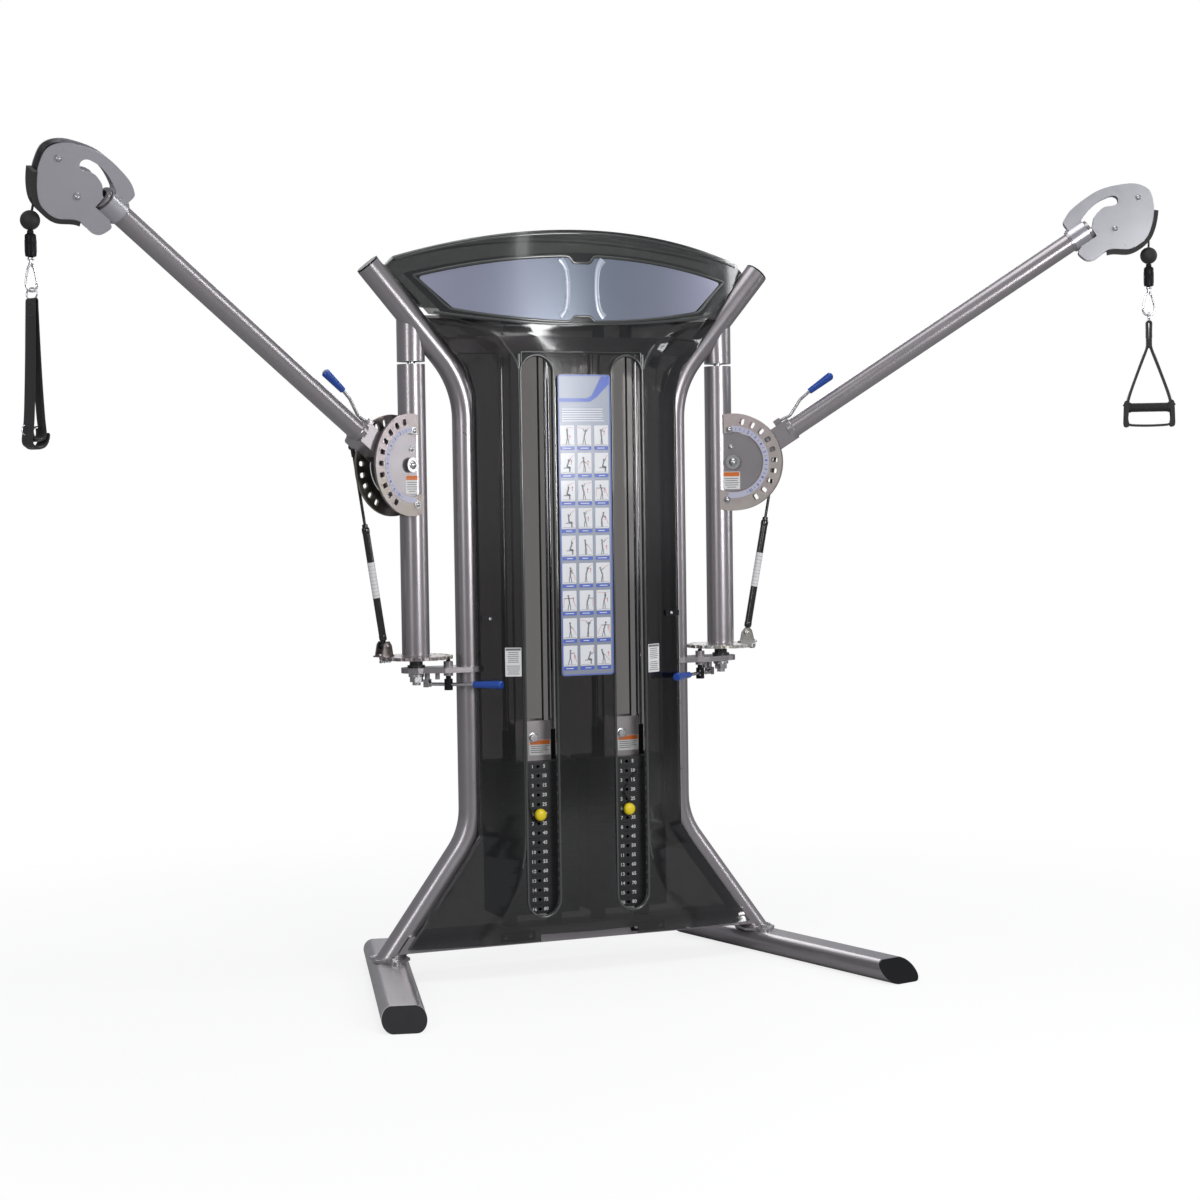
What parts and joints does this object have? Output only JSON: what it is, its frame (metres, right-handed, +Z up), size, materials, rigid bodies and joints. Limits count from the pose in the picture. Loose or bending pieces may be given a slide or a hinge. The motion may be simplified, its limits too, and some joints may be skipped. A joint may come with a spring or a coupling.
{
  "type": "cable crossover machine",
  "caption": "Free-standing strength machine: twin selectorised weight stacks behind a smoked shroud, with two pivoting pulley arms on turning columns and hanging cable handles.",
  "frame": {"origin": "on the floor at the centre of the footprint, midway between the uprights; the plane of the uprights stands 177.6 mm behind it", "axes": "+X to the right of a user facing the machine, +Y to the back of the machine, +Z up"},
  "size_m": [3.5093, 1.0752, 2.412],
  "materials": {
    "frame_paint": "satin metallic grey paint",
    "zinc": "zinc plated, faint yellow and pink tints",
    "black_plastic": "fine moulded texture",
    "grip_blue": "dipped vinyl",
    "chrome": "polished",
    "plate_black": "black powder coat",
    "rubber": "moulded rubber",
    "smoked_plastic": "glossy smoked sheet",
    "header_grey": "glossy smoked sheet",
    "banner": null,
    "placard": null,
    "head_silver": "satin silver paint",
    "steel": "bright steel",
    "nylon": "moulded nylon",
    "webbing": "woven webbing",
    "cable": "nylon coated wire rope",
    "selector_yellow": "moulded plastic",
    "strut_black": "gloss black with plain label band"
  },
  "bodies": {
    "root": {"base_rails": "frame_paint", "left_upright": "frame_paint", "right_upright": "frame_paint", "tube_end_caps": "black_plastic", "base_crossmember": "frame_paint", "top_crossmember": "frame_paint", "guide_rods": "chrome", "lower_weight_plates": "plate_black", "stack_bumpers": "rubber", "front_shroud": "smoked_plastic", "rear_shroud": "smoked_plastic", "header_cover": "header_grey", "header_banner": "banner", "exercise_placard": "placard", "shroud_clips": "black_plastic", "frame_bolts": "steel", "column_bearings": "nylon", "redirect_pulleys": "nylon", "left_lift_cable": "cable", "right_lift_cable": "cable"},
    "left_column": {"left_column": "frame_paint", "left_hole_plates": "zinc", "left_index_plate": "zinc"},
    "left_arm": {"left_arm": "frame_paint"},
    "left_arm_lever": {"left_arm_lever": "steel"},
    "left_arm_lock_pin": {"left_arm_lock_pin": "steel"},
    "left_column_lever": {"left_column_lever": "grip_blue"},
    "left_column_plunger": {"left_column_plunger": "black_plastic"},
    "left_strut_cylinder": {"left_strut_cylinder": "strut_black"},
    "left_strut_rod": {"left_strut_rod": "strut_black"},
    "left_head": {"left_head_frame": "head_silver", "left_head_bumper": "rubber"},
    "left_head_pulley_upper": {"left_head_pulley_upper": "nylon"},
    "left_head_pulley_lower": {"left_head_pulley_lower": "nylon"},
    "left_cable_end": {"left_cable_ball": "rubber"},
    "left_handle": {"left_snap_hook": "chrome", "left_handle": "webbing"},
    "left_stack": {"left_lift_carriage": "plate_black"},
    "left_lift_pulley": {"left_lift_pulley": "nylon"},
    "left_selector_pin": {"left_selector_pin": "selector_yellow"},
    "right_column": {"right_column": "frame_paint", "right_hole_plates": "zinc", "right_index_plate": "zinc"},
    "right_arm": {"right_arm": "frame_paint"},
    "right_arm_lever": {"right_arm_lever": "steel"},
    "right_arm_lock_pin": {"right_arm_lock_pin": "steel"},
    "right_column_lever": {"right_column_lever": "grip_blue"},
    "right_column_plunger": {"right_column_plunger": "black_plastic"},
    "right_strut_cylinder": {"right_strut_cylinder": "strut_black"},
    "right_strut_rod": {"right_strut_rod": "strut_black"},
    "right_head": {"right_head_frame": "head_silver", "right_head_bumper": "rubber"},
    "right_head_pulley_upper": {"right_head_pulley_upper": "nylon"},
    "right_head_pulley_lower": {"right_head_pulley_lower": "nylon"},
    "right_cable_end": {"right_cable_ball": "rubber"},
    "right_handle": {"right_snap_hook": "chrome", "right_handle": "webbing"},
    "right_stack": {"right_lift_carriage": "plate_black"},
    "right_lift_pulley": {"right_lift_pulley": "nylon"},
    "right_selector_pin": {"right_selector_pin": "selector_yellow"}
  },
  "joints": [
    {"name": "left_column_yaw", "type": "hinge", "parent": "root", "child": "left_column", "pos_m": [-0.5094, 0.1883, 1], "axis": [0, 0, 1], "range_deg": [-30, 60]},
    {"name": "left_arm_pitch", "type": "hinge", "parent": "left_column", "child": "left_arm", "pos_m": [-0.55305, 0.16391, 1.565], "axis": [-0.4879, 0.8729, 0], "range_deg": [-90, 45]},
    {"name": "left_arm_lever_turn", "type": "hinge", "parent": "left_arm", "child": "left_arm_lever", "pos_m": [-0.67313, 0.0968, 1.69107], "axis": [-0.4879, 0.8729, 0], "range_deg": [0, 3]},
    {"name": "left_arm_lock_slide", "type": "slide", "parent": "left_arm", "child": "left_arm_lock_pin", "axis": [0.4879, -0.8729, 0], "range_m": [0, 0.01]},
    {"name": "left_column_lever_turn", "type": "hinge", "parent": "root", "child": "left_column_lever", "pos_m": [-0.4724, 0.1963, 0.8975], "axis": [-0.6559, -0.7549, 0], "range_deg": [0, 7]},
    {"name": "left_column_plunger_slide", "type": "slide", "parent": "root", "child": "left_column_plunger", "axis": [0, 0, 1], "range_m": [0, 0.009]},
    {"name": "left_strut_swing", "type": "hinge", "parent": "left_column", "child": "left_strut_cylinder", "pos_m": [-0.60655, 0.19815, 1.018], "axis": [-0.4879, 0.8729, 0], "range_deg": [-2.8, 1.4]},
    {"name": "left_strut_stroke", "type": "slide", "parent": "left_strut_cylinder", "child": "left_strut_rod", "axis": [-0.161, -0.06, 0.9851], "range_m": [-0.18, 0.092]},
    {"name": "left_head_swivel", "type": "hinge", "parent": "left_arm", "child": "left_head", "pos_m": [-1.50053, -0.36562, 2.2511], "axis": [-0.7326, -0.4094, 0.5438], "range_deg": [-90, 90]},
    {"name": "left_head_pulley_upper_spin", "type": "hinge", "parent": "left_head", "child": "left_head_pulley_upper", "pos_m": [-1.65641, -0.45117, 2.36341], "axis": [0.192, -0.8907, -0.412], "continuous": true},
    {"name": "left_head_pulley_lower_spin", "type": "hinge", "parent": "left_head", "child": "left_head_pulley_lower", "pos_m": [-1.60162, -0.39789, 2.27376], "axis": [0.192, -0.8907, -0.412], "continuous": true},
    {"name": "left_stack_lift", "type": "slide", "parent": "root", "child": "left_stack", "axis": [0, 0, 1], "range_m": [0, 0.55], "deforming": ["left_lift_cable"]},
    {"name": "left_cable_pull", "type": "slide", "parent": "left_head", "child": "left_cable_end", "axis": [0, 0, -1], "range_m": [0, 1.1]},
    {"name": "left_handle_swing", "type": "hinge", "parent": "left_cable_end", "child": "left_handle", "pos_m": [-1.7151, -0.3898, 2.2035], "axis": [-0.4879, 0.8729, 0], "range_deg": [-45, 90]},
    {"name": "left_lift_pulley_spin", "type": "hinge", "parent": "left_stack", "child": "left_lift_pulley", "pos_m": [-0.1475, 0.1876, 0.72], "axis": [0, 1, 0], "continuous": true},
    {"name": "left_selector_pull", "type": "slide", "parent": "left_stack", "child": "left_selector_pin", "axis": [0, -1, 0], "range_m": [0, 0.095]},
    {"name": "right_column_yaw", "type": "hinge", "parent": "root", "child": "right_column", "pos_m": [0.5094, 0.1883, 1], "axis": [0, 0, -1], "range_deg": [-30, 60]},
    {"name": "right_arm_pitch", "type": "hinge", "parent": "right_column", "child": "right_arm", "pos_m": [0.55305, 0.16391, 1.565], "axis": [-0.4879, -0.8729, 0], "range_deg": [-90, 45]},
    {"name": "right_arm_lever_turn", "type": "hinge", "parent": "right_arm", "child": "right_arm_lever", "pos_m": [0.67313, 0.0968, 1.69107], "axis": [-0.4879, -0.8729, 0], "range_deg": [0, 3]},
    {"name": "right_arm_lock_slide", "type": "slide", "parent": "right_arm", "child": "right_arm_lock_pin", "axis": [-0.4879, -0.8729, 0], "range_m": [0, 0.01]},
    {"name": "right_column_lever_turn", "type": "hinge", "parent": "root", "child": "right_column_lever", "pos_m": [0.4724, 0.1963, 0.8975], "axis": [-0.6559, 0.7549, 0], "range_deg": [0, 7]},
    {"name": "right_column_plunger_slide", "type": "slide", "parent": "root", "child": "right_column_plunger", "axis": [0, 0, 1], "range_m": [0, 0.009]},
    {"name": "right_strut_swing", "type": "hinge", "parent": "right_column", "child": "right_strut_cylinder", "pos_m": [0.60655, 0.19815, 1.018], "axis": [-0.4879, -0.8729, 0], "range_deg": [-2.8, 1.4]},
    {"name": "right_strut_stroke", "type": "slide", "parent": "right_strut_cylinder", "child": "right_strut_rod", "axis": [0.161, -0.06, 0.9851], "range_m": [-0.18, 0.092]},
    {"name": "right_head_swivel", "type": "hinge", "parent": "right_arm", "child": "right_head", "pos_m": [1.50053, -0.36562, 2.2511], "axis": [0.7326, -0.4094, 0.5438], "range_deg": [-90, 90]},
    {"name": "right_head_pulley_upper_spin", "type": "hinge", "parent": "right_head", "child": "right_head_pulley_upper", "pos_m": [1.65591, -0.45246, 2.3631], "axis": [-0.4879, -0.8729, 0], "continuous": true},
    {"name": "right_head_pulley_lower_spin", "type": "hinge", "parent": "right_head", "child": "right_head_pulley_lower", "pos_m": [1.59393, -0.41782, 2.2691], "axis": [-0.4879, -0.8729, 0], "continuous": true},
    {"name": "right_stack_lift", "type": "slide", "parent": "root", "child": "right_stack", "axis": [0, 0, 1], "range_m": [0, 0.55], "deforming": ["right_lift_cable"]},
    {"name": "right_cable_pull", "type": "slide", "parent": "right_head", "child": "right_cable_end", "axis": [0, 0, -1], "range_m": [0, 1.1]},
    {"name": "right_handle_swing", "type": "hinge", "parent": "right_cable_end", "child": "right_handle", "pos_m": [1.6847, -0.4686, 2.1851], "axis": [-0.4879, -0.8729, 0], "range_deg": [-45, 90]},
    {"name": "right_lift_pulley_spin", "type": "hinge", "parent": "right_stack", "child": "right_lift_pulley", "pos_m": [0.1475, 0.1876, 0.72], "axis": [0, 1, 0], "continuous": true},
    {"name": "right_selector_pull", "type": "slide", "parent": "right_stack", "child": "right_selector_pin", "axis": [0, -1, 0], "range_m": [0, 0.095]}
  ],
  "couplings": [
    {"joint": "left_arm_lock_slide", "follows": "left_arm_lever_turn", "m_per_rad": 0.19},
    {"joint": "left_column_plunger_slide", "follows": "left_column_lever_turn", "m_per_rad": 0.0702},
    {"joint": "left_strut_swing", "follows": "left_arm_pitch", "ratio": 0.03},
    {"joint": "left_strut_stroke", "follows": "left_arm_pitch", "m_per_rad": 0.113},
    {"joint": "left_cable_pull", "follows": "left_stack_lift", "ratio": 2},
    {"joint": "left_handle_swing", "follows": "left_arm_pitch", "ratio": -1},
    {"joint": "right_arm_lock_slide", "follows": "right_arm_lever_turn", "m_per_rad": 0.19},
    {"joint": "right_column_plunger_slide", "follows": "right_column_lever_turn", "m_per_rad": 0.0702},
    {"joint": "right_strut_swing", "follows": "right_arm_pitch", "ratio": 0.03},
    {"joint": "right_strut_stroke", "follows": "right_arm_pitch", "m_per_rad": 0.113},
    {"joint": "right_cable_pull", "follows": "right_stack_lift", "ratio": 2},
    {"joint": "right_handle_swing", "follows": "right_arm_pitch", "ratio": -1}
  ]
}
